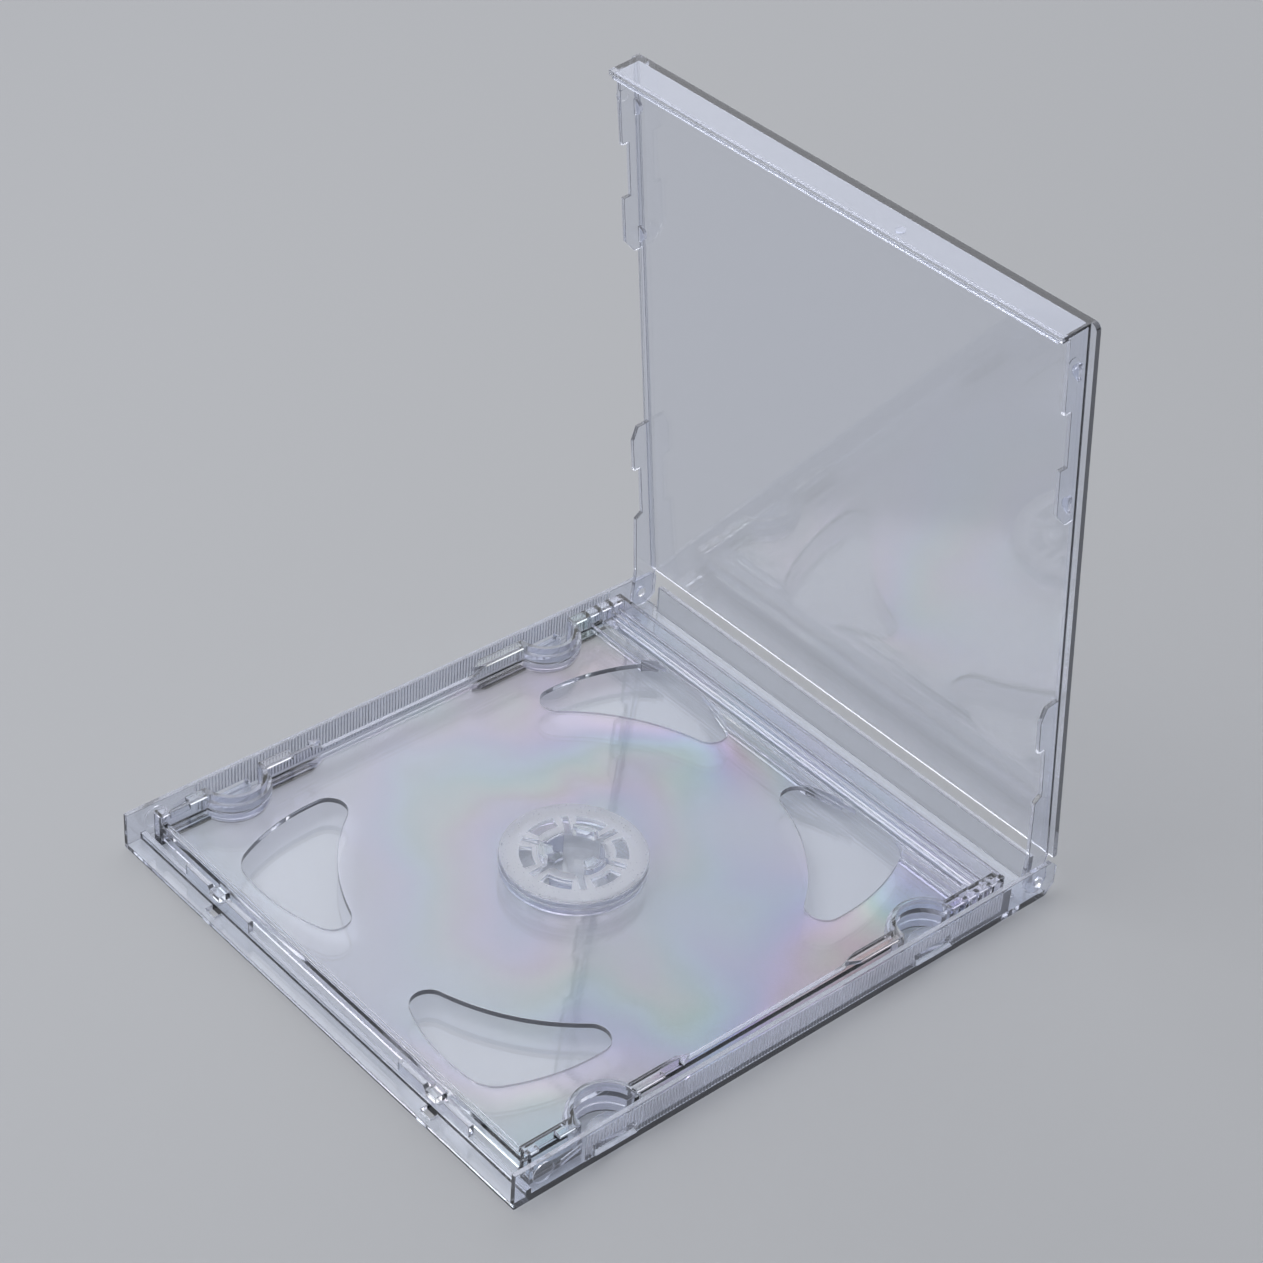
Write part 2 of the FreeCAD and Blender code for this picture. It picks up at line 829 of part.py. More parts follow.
def make_tray():
    """The two-sided tray moulding."""
    notches = [notch_front_x, notch_rear_x]
    parts = [tray_panel()] + front_edge() + spine_strip()
    for shape in side_rail() + [notch_wall(x) for x in notches]:
        parts += both_sides(shape)
    tray = joined(parts)
    holes = finger_openings() + [spine_slot()]
    for x in notches:
        holes += both_sides(notch_hole(x))
    for x in booklet_tab_x:
        holes += both_sides(tab_relief(x))
    holes.append(upright(hub_x, 0, platform_radius - platform_rim_width, 0, case_height))
    tray = tray.cut(holes)
    rim, plate = hub_platform()
    plate = plate.cut(hub_cuts())
    return joined([tray, rim, plate] + hub_fingers())


os.makedirs("parts", exist_ok=True)
pieces = {"base": make_base(), "lid": make_lid(), "tray": make_tray()}
for name, shape in pieces.items():
    shape.exportStep(f"parts/{name}.step")
    print(name, "solids", len(shape.Solids), "valid", shape.isValid(), "volume", round(shape.Volume, 1))
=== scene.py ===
from collections import Counter
import math

import bmesh
import bpy
import numpy as np
from mathutils import Matrix, Vector


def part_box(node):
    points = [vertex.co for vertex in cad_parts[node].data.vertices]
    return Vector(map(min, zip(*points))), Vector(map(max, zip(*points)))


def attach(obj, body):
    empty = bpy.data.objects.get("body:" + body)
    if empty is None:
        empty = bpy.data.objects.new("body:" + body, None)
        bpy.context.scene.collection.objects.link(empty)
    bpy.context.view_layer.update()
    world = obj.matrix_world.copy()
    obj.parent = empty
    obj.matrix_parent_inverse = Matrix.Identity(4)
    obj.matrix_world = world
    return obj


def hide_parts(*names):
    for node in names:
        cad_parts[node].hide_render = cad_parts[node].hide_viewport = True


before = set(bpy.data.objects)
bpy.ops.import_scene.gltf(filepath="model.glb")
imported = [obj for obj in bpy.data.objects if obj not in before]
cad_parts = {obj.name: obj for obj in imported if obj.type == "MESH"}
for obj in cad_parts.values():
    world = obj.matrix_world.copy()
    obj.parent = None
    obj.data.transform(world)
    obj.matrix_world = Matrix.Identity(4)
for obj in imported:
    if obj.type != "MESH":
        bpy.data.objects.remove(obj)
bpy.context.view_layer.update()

bl_info = {
    "name": "Clear disc case",
    "version": (1, 0, 0),
    "blender": (4, 5, 0),
    "location": "View3D > Sidebar > Disc Case",
    "description": "Finishes the clear mouldings of a hinged disc case and lights them on a pale floor",
    "category": "Object",
}

# Lengths are in metres and texture scales are waves to the metre

# Places that the finish follows
BASE_SIDE_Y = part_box("base")[1][1]
HUB_PLACE = (-0.0048, 0.0)
PLATFORM_RADIUS = 0.0152
HUB_PLATE_HEIGHTS = (0.007025, 0.006025)

# How far the lid stands open at rest
LID_OPEN_ANGLE = math.radians(83.2)

# Flat faces that are merged, and sharp edges that get a round if they are several radii long
MERGE_DISTANCE = 2e-6
FLAT_ANGLE = math.radians(0.4)
SEAM_ANGLE = math.radians(0.5)
SHARP_ANGLE = math.radians(27)
SHORTEST_IN_RADII = 3.0
ROUND_SEGMENTS = 2

# The short edges of the fine ribs on the base's outer sides, which stay sharp
RIB_BAND = 0.0003
LONGEST_RIB_EDGE = 0.008

# Material slots of a moulding, and the mark that a seamed face has before it gets its slot
PLAIN_SLOT = 0
EDGE_SLOT = 1
SPECIAL_SLOT = 2
NO_MARK = 0
SEAM_MARK = 1

# How the special faces are told: by the cosine of their facing, by their place and by their height
SQUARE_FACING = 0.9998
OUTERMOST_BAND = 0.0001
LEVEL_TOLERANCE = 2e-5
LEAST_EXTENT = 1e-9

# Noise textures, as scale, detail and roughness
STRESS_WARP_NOISE = (26.0, 2.0, 0.45)
STRESS_PATCH_NOISE = (17.0, 1.5, 0.5)
SCUFF_NOISE = (90.0, 4.0, 0.6)
CLOUD_NOISE = (38.0, 3.0, 0.55)
FROST_NOISE = (2200.0, 2.0, 0.5)
FLOOR_NOISE = (3.0, 2.0, 0.5)

# Fades, as start, end and least share
STRESS_PATCH_FADE = (0.30, 0.58, 0.0)
STRESS_DIAGONAL_FADE = (-0.045, 0.035, 0.12)
STRESS_STRIP_FADE = (0.056, 0.050, 0.2)
SCUFF_FADE = (0.56, 0.72, 0.0)
CLOUD_FADE = (0.45, 0.75, 0.0)

# The clear plastic and the marks of handling on it
PLASTIC_IOR = 1.57
SCUFF_TURN = (0.0, 0.0, 0.6)
SCUFF_STRETCH = (1.0, 14.0, 1.0)
MARK_AMOUNT = 0.02
MARK_HEIGHT = 0.5
BUMP_STRENGTH = 0.02
BUMP_DISTANCE = 0.0002

# The colours of moulding stress, measured from the hub
STRESS_BAND_WIDTH = 0.034
STRESS_WARP = 2.6
STRESS_SATURATION = 0.5
STRESS_DIRECTION = (0.8, -0.6, 0.0)
STRESS_PATCH_SHIFT = (0.31, 0.17, 0.05)

# The floor, the lamps and the camera
FLOOR_SIZE = 6.0
FLOOR_DROP = 0.0001
FLOOR_STEPS = 13
FLOOR_ROUGHNESS = 0.65
FLOOR_SPECULAR = 0.25
FLOOR_DARKEST = 0.985
LAMP_TARGET = (0.0, 0.0, 0.03)
KEY_PLACE = (-0.35, 0.25, 0.9)
KEY_SIZE = (0.7, 0.7)
BACK_PLACE = (0.85, 0.55, 0.75)
BACK_SIZE = (1.4, 1.1)
SENSOR_WIDTH = 36.0
CLIP_END = 20.0

# The colour sockets of a Mix node, which share their names with its sockets of other types
FIRST_COLOUR = 6
SECOND_COLOUR = 7
MIXED_COLOUR = 2

# Spacing of the nodes in the editor
COLUMN_WIDTH = 220
ROW_HEIGHT = 240


class MouldingSettings(bpy.types.PropertyGroup):
    """The clear plastic of the three mouldings."""

    base_tint: bpy.props.FloatVectorProperty(
        name="Base tint",
        description="Colour that the base's plastic gives to light passing through it",
        subtype="COLOR", size=3, min=0.0, max=1.0, default=(0.90, 0.925, 0.985))
    lid_tint: bpy.props.FloatVectorProperty(
        name="Lid tint",
        description="Colour that the lid's plastic gives to light passing through it",
        subtype="COLOR", size=3, min=0.0, max=1.0, default=(0.905, 0.925, 0.985))
    tray_tint: bpy.props.FloatVectorProperty(
        name="Tray tint",
        description="Colour that the tray's plastic gives to light passing through it",
        subtype="COLOR", size=3, min=0.0, max=1.0, default=(0.90, 0.915, 0.965))
    edge_radius: bpy.props.FloatProperty(
        name="Edge rounding",
        description="Width of the small round that the mould leaves along each edge",
        subtype="DISTANCE", unit="LENGTH", min=0.00002, max=0.0004, default=0.00013)
    gloss_roughness: bpy.props.FloatProperty(
        name="Polish",
        description="Roughness of the polished plastic",
        min=0.0, max=0.3, default=0.025)
    frost_roughness: bpy.props.FloatProperty(
        name="Frosting",
        description="Roughness of the frosted plate of the hub",
        min=0.05, max=0.8, default=0.42)
    frost_clearness: bpy.props.FloatProperty(
        name="Frosting clearness",
        description="Share of the light that the hub's frosted plate lets through",
        subtype="FACTOR", min=0.0, max=1.0, default=0.84)
    # Painted edge light: narrow faces and rounds let this share through and show the rest as whitish colour
    # in the edge tint
    edge_clearness: bpy.props.FloatProperty(
        name="Edge clearness",
        description="Share of the light that narrow edges let through, where the plastic gathers light",
        subtype="FACTOR", min=0.0, max=1.0, default=0.76)
    # Painted glow of the outermost walls: the share of light they let through, while the rest shows as
    # whitish colour that stands for light gathered in them
    wall_glow_clearness: bpy.props.FloatProperty(
        name="Wall glow clearness",
        description="Share of the light that the hazy outer walls let through",
        subtype="FACTOR", min=0.0, max=1.0, default=0.9)
    edge_width: bpy.props.FloatProperty(
        name="Edge width",
        description="Widest face that counts as an edge",
        subtype="DISTANCE", unit="LENGTH", min=0.0002, max=0.003, default=0.00132)
    edge_tint: bpy.props.FloatVectorProperty(
        name="Edge tint",
        description="Colour of the light that gathers along narrow edges",
        subtype="COLOR", size=3, min=0.0, max=1.0, default=(0.86, 0.89, 1.0))
    stress_strength: bpy.props.FloatProperty(
        name="Stress colours",
        description="How much of the rainbow that moulding stress gives clear plastic shows in the tray",
        subtype="FACTOR", min=0.0, max=1.0, default=0.38)
    shadow_share: bpy.props.FloatProperty(
        name="Shadow",
        description="Share of the lamps' light that each clear wall holds back",
        subtype="FACTOR", min=0.0, max=1.0, default=0.28)


class StageSettings(bpy.types.PropertyGroup):
    """The floor, the light and the camera."""

    floor_colour: bpy.props.FloatVectorProperty(
        name="Floor colour",
        description="Colour of the plain floor",
        subtype="COLOR", size=3, min=0.0, max=1.0, default=(0.50, 0.51, 0.53))
    sky_colour: bpy.props.FloatVectorProperty(
        name="Background colour",
        description="Colour of the plain studio round the object",
        subtype="COLOR", size=3, min=0.0, max=1.0, default=(0.52, 0.53, 0.56))
    sky_strength: bpy.props.FloatProperty(
        name="Background light",
        description="Strength of the studio's even light",
        min=0.0, max=2.0, default=0.65)
    key_power: bpy.props.FloatProperty(
        name="Key light",
        description="Power of the softbox above the object",
        subtype="POWER", unit="POWER", min=0.0, max=200.0, default=5.0)
    back_power: bpy.props.FloatProperty(
        name="Back light",
        description="Power of the softbox behind the lid, which the tray mirrors",
        subtype="POWER", unit="POWER", min=0.0, max=200.0, default=4.5)
    camera_place: bpy.props.FloatVectorProperty(
        name="Camera place",
        description="Where the camera stands in the object's own frame",
        subtype="TRANSLATION", unit="LENGTH", size=3, default=(-0.3319, -0.35635, 0.4289))
    camera_yaw: bpy.props.FloatProperty(
        name="Camera heading",
        description="Direction that the camera looks in, from +X towards +Y",
        subtype="ANGLE", unit="ROTATION", default=math.radians(46.48))
    camera_pitch: bpy.props.FloatProperty(
        name="Camera pitch",
        description="How far the camera looks up, or down where negative",
        subtype="ANGLE", unit="ROTATION", default=math.radians(-37.06))
    camera_roll: bpy.props.FloatProperty(
        name="Camera roll",
        description="How far the camera is tipped about its own view",
        subtype="ANGLE", unit="ROTATION", default=math.radians(4.31))
    camera_lens: bpy.props.FloatProperty(
        name="Camera lens",
        description="Focal length for a sensor 36 mm wide",
        subtype="DISTANCE_CAMERA", unit="CAMERA", default=90.66)


def add_node(tree, kind, sockets=None, **settings):
    """A node of that kind with its settings, and its sockets by name or number as plain values or links."""
    made = tree.nodes.new(kind)
    for name, value in settings.items():
        setattr(made, name, value)
    for key, value in (sockets or {}).items():
        if isinstance(value, bpy.types.NodeSocket):
            tree.links.new(value, made.inputs[key])
        else:
            made.inputs[key].default_value = value
    return made


def math_node(tree, operation, *values):
    """The result of a Math node on outputs or plain numbers."""
    return add_node(tree, "ShaderNodeMath", dict(enumerate(values)), operation=operation).outputs[0]


def vector_node(tree, operation, *values):
    """A Vector Math node on outputs or plain vectors."""
    return add_node(tree, "ShaderNodeVectorMath", dict(enumerate(values)), operation=operation)


def mapped(tree, position, **sockets):
    """A position that is moved, turned or stretched."""
    sockets["Vector"] = position
    return add_node(tree, "ShaderNodeMapping", sockets, vector_type="POINT").outputs[0]


def noise(tree, position, texture):
    """The value of a noise texture, which is given as scale, detail and roughness."""
    scale, detail, roughness = texture
    sockets = {"Vector": position, "Scale": scale, "Detail": detail, "Roughness": roughness}
    return add_node(tree, "ShaderNodeTexNoise", sockets).outputs["Fac"]


def fade(tree, value, span):
    """A share that is least up to the span's start, one from its end on, and grows evenly in between."""
    start, end, least = span
    sockets = {"Value": value, "From Min": start, "From Max": end, "To Min": least}
    return add_node(tree, "ShaderNodeMapRange", sockets, clamp=True).outputs["Result"]


def mix_colours(tree, share, first, second, blend_type="MIX"):
    """The first colour with a share of the second one in it."""
    sockets = {"Factor": share, FIRST_COLOUR: first, SECOND_COLOUR: second}
    made = add_node(tree, "ShaderNodeMix", sockets, data_type="RGBA", blend_type=blend_type)
    return made.outputs[MIXED_COLOUR]


def arrange(tree):
    """Sets a tree's nodes out in columns, each node left of all that it feeds."""
    columns = {node.name: 0 for node in tree.nodes}
    for _ in tree.nodes:
        for link in tree.links:
            column = columns[link.to_node.name] + 1
            columns[link.from_node.name] = max(columns[link.from_node.name], column)
    filled = Counter()
    for node in tree.nodes:
        column = columns[node.name]
        node.location = (-COLUMN_WIDTH * column, -ROW_HEIGHT * filled[column])
        filled[column] += 1


def new_group(name, inputs, outputs):
    """A shader group with sockets of the named kinds, what it is given, and where its result goes."""
    group = bpy.data.node_groups.new(name, "ShaderNodeTree")
    for direction, sockets in (("INPUT", inputs), ("OUTPUT", outputs)):
        for socket_name, kind in sockets.items():
            group.interface.new_socket(socket_name, in_out=direction, socket_type=f"NodeSocket{kind}")
    return group, add_node(group, "NodeGroupInput").outputs, add_node(group, "NodeGroupOutput").inputs


def stress_colour_group():
    """Colour bands of moulding stress, whose hue turns with a warped distance from the hub.

    They come in patches, grow along one diagonal of the tray and fade on its spine strip.
    """
    name = "Moulding stress colours"
    if name in bpy.data.node_groups:
        return bpy.data.node_groups[name]
    inputs = {"Position": "Vector", "Tint": "Color", "Band width": "Float", "Strength": "Float"}
    group, given, result = new_group(name, inputs, {"Color": "Color"})
    position = given["Position"]
    tint = given["Tint"]

    distance = vector_node(group, "LENGTH", position).outputs["Value"]
    bands = math_node(group, "DIVIDE", distance, given["Band width"])
    bent = math_node(group, "MULTIPLY", noise(group, position, STRESS_WARP_NOISE), STRESS_WARP)
    hue = math_node(group, "FRACT", math_node(group, "ADD", bands, bent))
    rainbow = add_node(group, "ShaderNodeCombineColor", {0: hue, 1: STRESS_SATURATION, 2: 1.0}, mode="HSV")
    tinted = mix_colours(group, 1.0, tint, rainbow.outputs[0], blend_type="MULTIPLY")

    shifted = vector_node(group, "ADD", position, STRESS_PATCH_SHIFT).outputs[0]
    patches = fade(group, noise(group, shifted, STRESS_PATCH_NOISE), STRESS_PATCH_FADE)
    along = vector_node(group, "DOT_PRODUCT", position, STRESS_DIRECTION).outputs["Value"]
    diagonal = fade(group, along, STRESS_DIAGONAL_FADE)
    apart = add_node(group, "ShaderNodeSeparateXYZ", {0: position})
    off_strip = fade(group, apart.outputs["X"], STRESS_STRIP_FADE)
    placed = math_node(group, "MULTIPLY", patches, math_node(group, "MULTIPLY", diagonal, off_strip))
    share = math_node(group, "MULTIPLY", placed, given["Strength"])
    group.links.new(mix_colours(group, share, tint, tinted), result["Color"])
    arrange(group)
    return group


def handling_group():
    """Marks of handling: fine stretched scuffs and cloudy patches, as a roughness and a height."""
    name = "Handling marks"
    if name in bpy.data.node_groups:
        return bpy.data.node_groups[name]
    inputs = {"Position": "Vector", "Polish": "Float", "Amount": "Float"}
    group, given, result = new_group(name, inputs, {"Roughness": "Float", "Height": "Float"})
    stretched = mapped(group, given["Position"], Rotation=SCUFF_TURN, Scale=SCUFF_STRETCH)
    scuffs = fade(group, noise(group, stretched, SCUFF_NOISE), SCUFF_FADE)
    clouds = fade(group, noise(group, given["Position"], CLOUD_NOISE), CLOUD_FADE)
    both = math_node(group, "ADD", scuffs, clouds)
    extra = math_node(group, "MULTIPLY", both, given["Amount"])
    group.links.new(math_node(group, "ADD", extra, given["Polish"]), result["Roughness"])
    group.links.new(math_node(group, "MULTIPLY", both, MARK_HEIGHT), result["Height"])
    arrange(group)
    return group


def frosted_grain(tree, position, frost):
    """Roughness of the hub's frosting, with an etched mould's fine grain, whose values average a half."""
    return math_node(tree, "MULTIPLY", noise(tree, position, FROST_NOISE), frost * 2.0)


def clear_plastic(name, tint, settings, clearness=1.0, frosted=False, stress=0.0):
    """Clear moulded plastic with handling marks, and where asked the hub's frosting or stress colours."""
    material = bpy.data.materials.new(name)
    material.use_nodes = True
    tree = material.node_tree
    tree.nodes.clear()
    position = add_node(tree, "ShaderNodeTexCoord").outputs["Object"]
    from_hub = mapped(tree, position, Location=(-HUB_PLACE[0], -HUB_PLACE[1], 0.0))

    colour = add_node(
        tree, "ShaderNodeGroup",
        {"Position": from_hub, "Tint": (*tint, 1.0), "Band width": STRESS_BAND_WIDTH, "Strength": stress},
        node_tree=stress_colour_group())
    marks = add_node(
        tree, "ShaderNodeGroup",
        {"Position": position, "Polish": settings.gloss_roughness, "Amount": MARK_AMOUNT},
        node_tree=handling_group())
    roughness = marks.outputs["Roughness"]
    if frosted:
        roughness = frosted_grain(tree, from_hub, settings.frost_roughness)
    bump = add_node(
        tree, "ShaderNodeBump",
        {"Strength": BUMP_STRENGTH, "Distance": BUMP_DISTANCE, "Height": marks.outputs["Height"]})
    shader = add_node(
        tree, "ShaderNodeBsdfPrincipled",
        {
            "Base Color": colour.outputs["Color"],
            "Metallic": 0.0,
            "Roughness": roughness,
            "IOR": PLASTIC_IOR,
            "Normal": bump.outputs["Normal"],
            "Transmission Weight": clearness,
        })

    # Lamps shine through the plastic, which holds back an even share of their light
    passed = 1.0 - settings.shadow_share
    lamp_light = add_node(tree, "ShaderNodeBsdfTransparent", {"Color": (passed, passed, passed, 1.0)})
    rays = add_node(tree, "ShaderNodeLightPath")
    either = add_node(
        tree, "ShaderNodeMixShader",
        {0: rays.outputs["Is Shadow Ray"], 1: shader.outputs["BSDF"], 2: lamp_light.outputs["BSDF"]})
    add_node(tree, "ShaderNodeOutputMaterial", {"Surface": either.outputs["Shader"]})
    arrange(tree)
    return material


def painted_edge_light(piece_name, settings):
    """Plastic of narrow edges, made whiter and less clear to paint in the light that runs inside a moulding
    and gathers at its edges.
    """
    name = f"Edge light, {piece_name}"
    return clear_plastic(name, settings.edge_tint, settings, clearness=settings.edge_clearness)


def wall_glow_materials(piece_name, tint, settings):
    """The materials of a moulding whose outermost walls carry a painted glow of gathered light, in the
    order of its slots.
    """
    plain = clear_plastic(f"Clear plastic, {piece_name}", tint, settings)
    edges = painted_edge_light(piece_name, settings)
    # Painted light: the outermost walls are made whiter and less clear in the edge-light tint, to stand for
    # the light that gathers in them
    name = f"Wall glow, {piece_name}"
    wall_glow = clear_plastic(name, settings.edge_tint, settings, clearness=settings.wall_glow_clearness)
    return plain, edges, wall_glow


def numbers_of(items, name, kind=float):
    """One number of every corner or face of a mesh."""
    values = np.empty(len(items), dtype=kind)
    items.foreach_get(name, values)
    return values


def vectors_of(items, name):
    """One vector of every vertex or face of a mesh, as rows."""
    values = np.empty((len(items), 3))
    items.foreach_get(name, values.ravel())
    return values


def face_slots(mesh, edge_width, outward, with_hub):
    """Gives each face its slot: that of edges where its area over its longest extent is narrow.

    A face that a seam joins to a flat neighbour isn't narrow. The special slot goes to the flat faces that
    lie furthest out along one of the outward directions, and on the tray to those of the hub's plate.
    """
    faces = mesh.polygons
    marks = numbers_of(faces, "material_index", kind=np.int32)
    normals = vectors_of(faces, "normal")
    points = vectors_of(mesh.vertices, "co")
    corners = points[numbers_of(mesh.loops, "vertex_index", kind=np.int32)]
    starts = numbers_of(faces, "loop_start", kind=np.int32)
    low = np.minimum.reduceat(corners, starts, axis=0)
    high = np.maximum.reduceat(corners, starts, axis=0)
    centre = (low + high) / 2
    extent = np.maximum(np.linalg.norm(high - low, axis=1), LEAST_EXTENT)
    narrow = numbers_of(faces, "area") / extent < edge_width
    slots = np.where(narrow & (marks != SEAM_MARK), EDGE_SLOT, PLAIN_SLOT)
    for direction in np.array(outward):
        reach = centre @ direction
        outermost = reach > reach.max() - OUTERMOST_BAND
        slots[(normals @ direction > SQUARE_FACING) & outermost] = SPECIAL_SLOT
    if with_hub:
        radius = np.hypot(centre[:, 0] - HUB_PLACE[0], centre[:, 1] - HUB_PLACE[1])
        flat = high[:, 2] - low[:, 2] < LEVEL_TOLERANCE
        for height in HUB_PLATE_HEIGHTS:
            level = np.abs(centre[:, 2] - height) < LEVEL_TOLERANCE
            slots[flat & level & (radius < PLATFORM_RADIUS)] = SPECIAL_SLOT
    faces.foreach_set("material_index", slots.astype(np.int32))


def on_fine_ribs(edge):
    """Whether an edge is one of the short edges of the fine ribs on the base's outer sides."""
    outside = all(abs(vertex.co.y) > BASE_SIDE_Y - RIB_BAND for vertex in edge.verts)
    return outside and edge.calc_length() < LONGEST_RIB_EDGE


def round_edges(mesh, radius, skip_ribs):
    """Merges a mesh's flat faces and marks the edges that get a round: the sharp ones that are long enough.

    Faces that only a seam parts from a flat neighbour get a mark in place of their slot, for a later step.
    """
    shell = bmesh.new()
    shell.from_mesh(mesh)
    bmesh.ops.remove_doubles(shell, verts=shell.verts, dist=MERGE_DISTANCE)
    bmesh.ops.dissolve_limit(shell, angle_limit=FLAT_ANGLE, verts=shell.verts, edges=shell.edges)
    layers = shell.edges.layers.float
    weights = layers.get("bevel_weight_edge") or layers.new("bevel_weight_edge")
    for face in shell.faces:
        face.material_index = NO_MARK
        face.smooth = True
    for edge in shell.edges:
        if len(edge.link_faces) != 2:
            continue
        angle = edge.calc_face_angle(0.0)
        if angle < SEAM_ANGLE:
            for face in edge.link_faces:
                face.material_index = SEAM_MARK
        sharp = angle > SHARP_ANGLE
        edge.smooth = not sharp
        ribbed = skip_ribs and on_fine_ribs(edge)
        if sharp and not ribbed and edge.calc_length() > SHORTEST_IN_RADII * radius:
            edge[weights] = 1.0
    shell.to_mesh(mesh)
    shell.free()


def new_object(name, data):
    """An object of the scene with that data."""
    made = bpy.data.objects.new(name, data)
    bpy.context.scene.collection.objects.link(made)
    return made


def rounded_moulding(
        node_name, piece_name, body, materials, settings, outward=(), with_hub=False, skip_ribs=False):
    """The moulding of a CAD node with merged faces and rounded edges, which stands for that node."""
    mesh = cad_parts[node_name].data.copy()
    mesh.name = piece_name
    mesh.materials.clear()
    for material in materials:
        mesh.materials.append(material)
    round_edges(mesh, settings.edge_radius, skip_ribs)
    face_slots(mesh, settings.edge_width, outward, with_hub)
    piece = new_object(piece_name, mesh)
    bevel = piece.modifiers.new("Rounded edges", "BEVEL")
    bevel.limit_method = "WEIGHT"
    bevel.width = settings.edge_radius
    # The rounds take the painted edge light
    bevel.material = EDGE_SLOT
    bevel.segments = ROUND_SEGMENTS
    bevel.use_clamp_overlap = False
    bevel.harden_normals = True
    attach(piece, body)
    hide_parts(node_name)
    return piece


class CASE_OT_base(bpy.types.Operator):
    """Dress the base moulding"""

    bl_idname = "disc_case.base"
    bl_label = "Base"

    def execute(self, context):
        settings = context.scene.disc_case_mouldings
        materials = wall_glow_materials("base", settings.base_tint, settings)
        sides = ((0.0, 1.0, 0.0), (0.0, -1.0, 0.0))
        piece = rounded_moulding(
            "base", "base_moulding", "case", materials, settings, outward=sides, skip_ribs=True)
        return {"FINISHED"}


class CASE_OT_lid(bpy.types.Operator):
    """Dress the lid moulding"""

    bl_idname = "disc_case.lid"
    bl_label = "Lid"

    def execute(self, context):
        settings = context.scene.disc_case_mouldings
        materials = wall_glow_materials("lid", settings.lid_tint, settings)
        free_end = (-math.cos(LID_OPEN_ANGLE), 0.0, math.sin(LID_OPEN_ANGLE))
        piece = rounded_moulding("lid", "lid_moulding", "lid", materials, settings, outward=(free_end,))
        return {"FINISHED"}


class CASE_OT_tray(bpy.types.Operator):
    """Dress the disc tray moulding"""

    bl_idname = "disc_case.tray"
    bl_label = "Tray"

    def execute(self, context):
        settings = context.scene.disc_case_mouldings
        tint = settings.tray_tint
        plain = clear_plastic("Clear plastic, tray", tint, settings, stress=settings.stress_strength)
        edges = painted_edge_light("tray", settings)
        frost = clear_plastic(
            "Frosted plastic, hub", tint, settings, clearness=settings.frost_clearness, frosted=True)
        materials = (plain, edges, frost)
        piece = rounded_moulding("tray", "tray_moulding", "case", materials, settings, with_hub=True)
        return {"FINISHED"}


def floor_sheet(size, drop, steps):
    """A floor as a height over a grid: flat, a little under the object."""
    axis = np.linspace(-size / 2, size / 2, steps)
    x, y = np.meshgrid(axis, axis, indexing="ij")
    points = np.stack([x.ravel(), y.ravel(), np.full(x.size, -drop)], axis=1)
    corner = (np.arange(steps - 1)[:, None] * steps + np.arange(steps - 1)[None, :]).ravel()
    faces = np.stack([corner, corner + steps, corner + steps + 1, corner + 1], axis=1)
    mesh = bpy.data.meshes.new("floor")
    mesh.from_pydata(points.tolist(), [], faces.tolist())
    return mesh


def floor_material(colour):
    """A plain floor whose shade drifts by a percent or two."""
    material = bpy.data.materials.new("Plain floor")
    material.use_nodes = True
    tree = material.node_tree
    tree.nodes.clear()
    position = add_node(tree, "ShaderNodeTexCoord").outputs["Object"]
    darker = (*[channel * FLOOR_DARKEST for channel in colour], 1.0)
    shade = mix_colours(tree, noise(tree, position, FLOOR_NOISE), darker, (*colour, 1.0))
    shader = add_node(
        tree, "ShaderNodeBsdfPrincipled",
        {"Base Color": shade, "Roughness": FLOOR_ROUGHNESS, "Specular IOR Level": FLOOR_SPECULAR})
    add_node(tree, "ShaderNodeOutputMaterial", {"Surface": shader.outputs["BSDF"]})
    arrange(tree)
    return material


def softbox(name, place, size, power):
    """A rectangular lamp at a place, facing the object."""
    lamp = bpy.data.lights.new(name, "AREA")
    lamp.shape = "RECTANGLE"
    lamp.size, lamp.size_y = size
    lamp.energy = power
    direction = Vector(LAMP_TARGET) - Vector(place)
    turn = direction.to_track_quat("-Z", "Y").to_matrix().to_4x4()
    new_object(name, lamp).matrix_world = Matrix.Translation(Vector(place)) @ turn


def studio_world(colour, strength):
    """An even pale studio, shown to the camera and to mirrored and refracted rays at its plain colour."""
    world = bpy.data.worlds.new("Studio")
    bpy.context.scene.world = world
    world.use_nodes = True
    tree = world.node_tree
    tree.nodes.clear()
    rays = add_node(tree, "ShaderNodeLightPath").outputs
    mirrored = math_node(tree, "MAXIMUM", rays["Is Glossy Ray"], rays["Is Transmission Ray"])
    shown = math_node(tree, "MAXIMUM", rays["Is Camera Ray"], mirrored)
    lit = add_node(tree, "ShaderNodeBackground", {"Color": (*colour, 1.0), "Strength": strength})
    seen = add_node(tree, "ShaderNodeBackground", {"Color": (*colour, 1.0), "Strength": 1.0})
    mixed = add_node(tree, "ShaderNodeMixShader", {0: shown, 1: lit.outputs[0], 2: seen.outputs[0]})
    add_node(tree, "ShaderNodeOutputWorld", {"Surface": mixed.outputs[0]})
    arrange(tree)


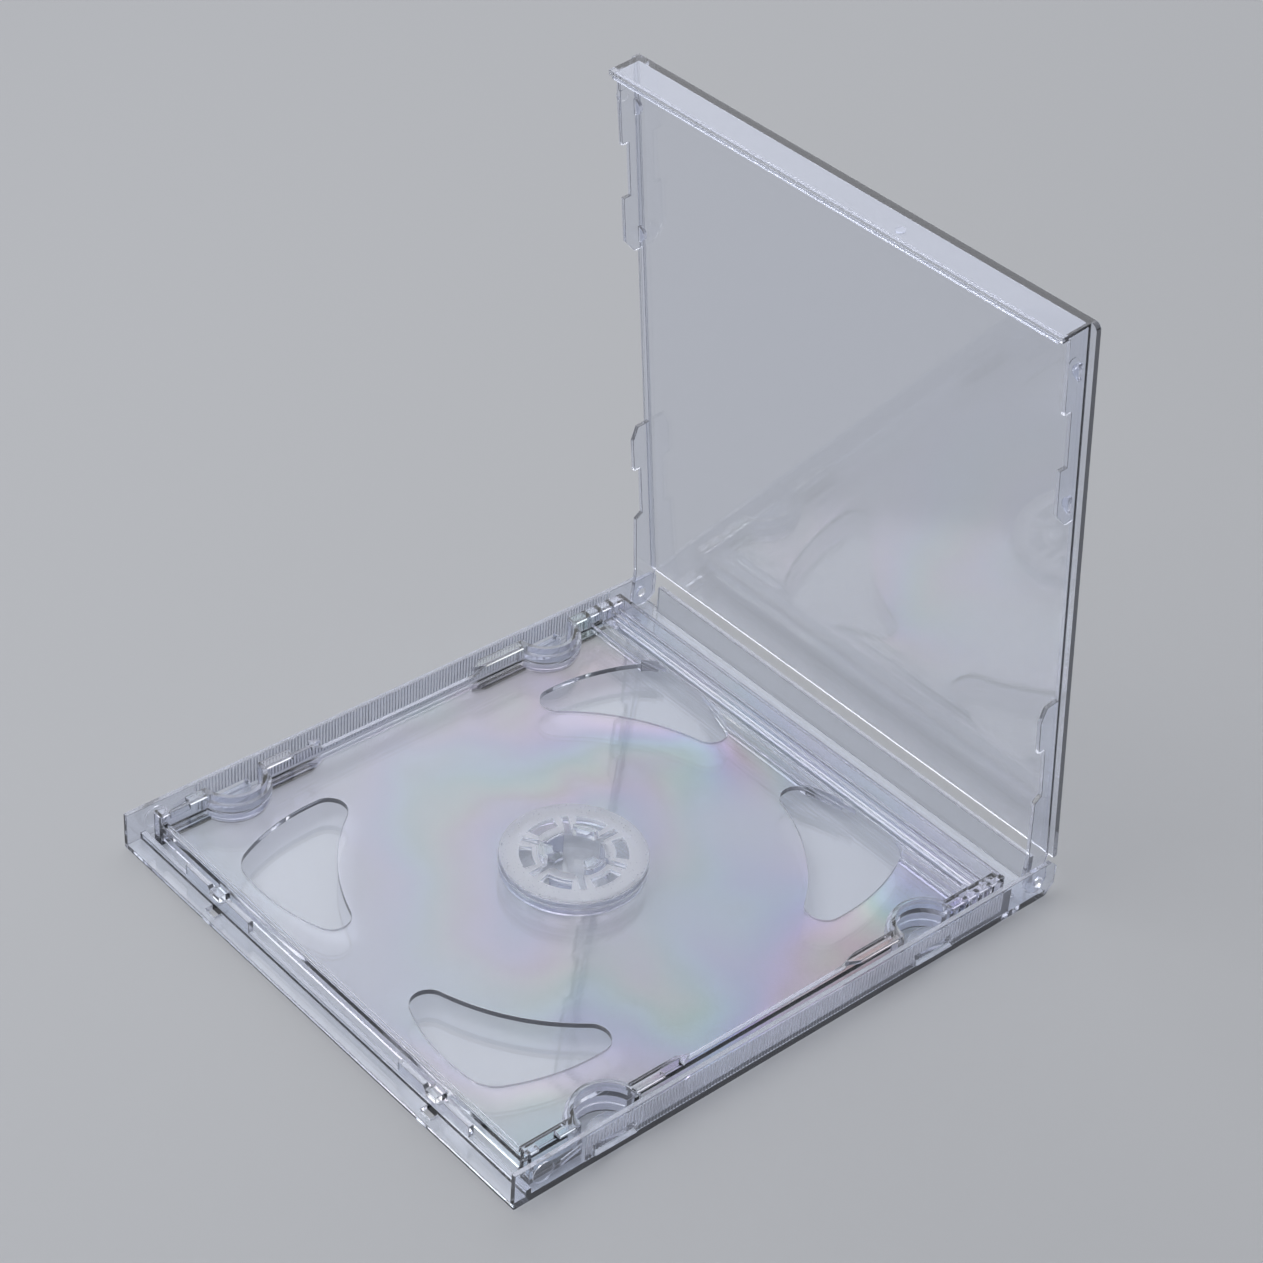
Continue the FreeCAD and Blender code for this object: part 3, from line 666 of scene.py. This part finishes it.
def photo_camera(stage):
    """The camera, with its axes worked out from heading, pitch and roll."""
    yaw, pitch, roll = stage.camera_yaw, stage.camera_pitch, stage.camera_roll
    forward = Vector((math.cos(pitch) * math.cos(yaw), math.cos(pitch) * math.sin(yaw), math.sin(pitch)))
    level = forward.cross(Vector((0, 0, 1))).normalized()
    upward = level.cross(forward)
    right = math.cos(roll) * level + math.sin(roll) * upward
    top = -math.sin(roll) * level + math.cos(roll) * upward
    turn = Matrix((right, top, -forward)).transposed().to_4x4()
    data = bpy.data.cameras.new("Camera")
    data.sensor_width = SENSOR_WIDTH
    data.sensor_fit = "HORIZONTAL"
    data.lens = stage.camera_lens
    data.clip_end = CLIP_END
    camera = new_object("Camera", data)
    camera.matrix_world = Matrix.Translation(Vector(stage.camera_place)) @ turn
    bpy.context.scene.camera = camera


class CASE_OT_stage(bpy.types.Operator):
    """Set up the floor, the light and the camera"""

    bl_idname = "disc_case.stage"
    bl_label = "Stage"

    def execute(self, context):
        stage = context.scene.disc_case_stage
        mesh = floor_sheet(FLOOR_SIZE, FLOOR_DROP, FLOOR_STEPS)
        mesh.materials.append(floor_material(stage.floor_colour))
        floor = new_object("floor", mesh)
        softbox("key softbox", KEY_PLACE, KEY_SIZE, stage.key_power)
        softbox("back softbox", BACK_PLACE, BACK_SIZE, stage.back_power)
        studio_world(stage.sky_colour, stage.sky_strength)
        photo_camera(stage)
        context.scene.view_settings.view_transform = "Standard"
        return {"FINISHED"}


class CASE_PT_panel(bpy.types.Panel):
    """Lists the pieces of the case and their settings"""

    bl_idname = "CASE_PT_panel"
    bl_label = "Disc Case"
    bl_space_type = "VIEW_3D"
    bl_region_type = "UI"
    bl_category = "Disc Case"

    def draw(self, context):
        layout = self.layout
        mouldings = context.scene.disc_case_mouldings
        stage = context.scene.disc_case_stage
        for name in MouldingSettings.__annotations__:
            layout.prop(mouldings, name)
        for operator in (CASE_OT_base, CASE_OT_lid, CASE_OT_tray):
            layout.operator(operator.bl_idname)
        for name in StageSettings.__annotations__:
            layout.prop(stage, name)
        layout.operator(CASE_OT_stage.bl_idname)


CLASSES = (
    MouldingSettings,
    StageSettings,
    CASE_OT_base,
    CASE_OT_lid,
    CASE_OT_tray,
    CASE_OT_stage,
    CASE_PT_panel,
)


def register():
    """Adds the classes, and the settings to the scene."""
    for cls in CLASSES:
        bpy.utils.register_class(cls)
    bpy.types.Scene.disc_case_mouldings = bpy.props.PointerProperty(type=MouldingSettings)
    bpy.types.Scene.disc_case_stage = bpy.props.PointerProperty(type=StageSettings)


def unregister():
    """Takes the settings and the classes away again."""
    del bpy.types.Scene.disc_case_stage
    del bpy.types.Scene.disc_case_mouldings
    for cls in reversed(CLASSES):
        bpy.utils.unregister_class(cls)


def main():
    """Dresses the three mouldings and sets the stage."""
    register()
    bpy.ops.disc_case.base()
    bpy.ops.disc_case.lid()
    bpy.ops.disc_case.tray()
    bpy.ops.disc_case.stage()


if __name__ == "__main__":
    main()
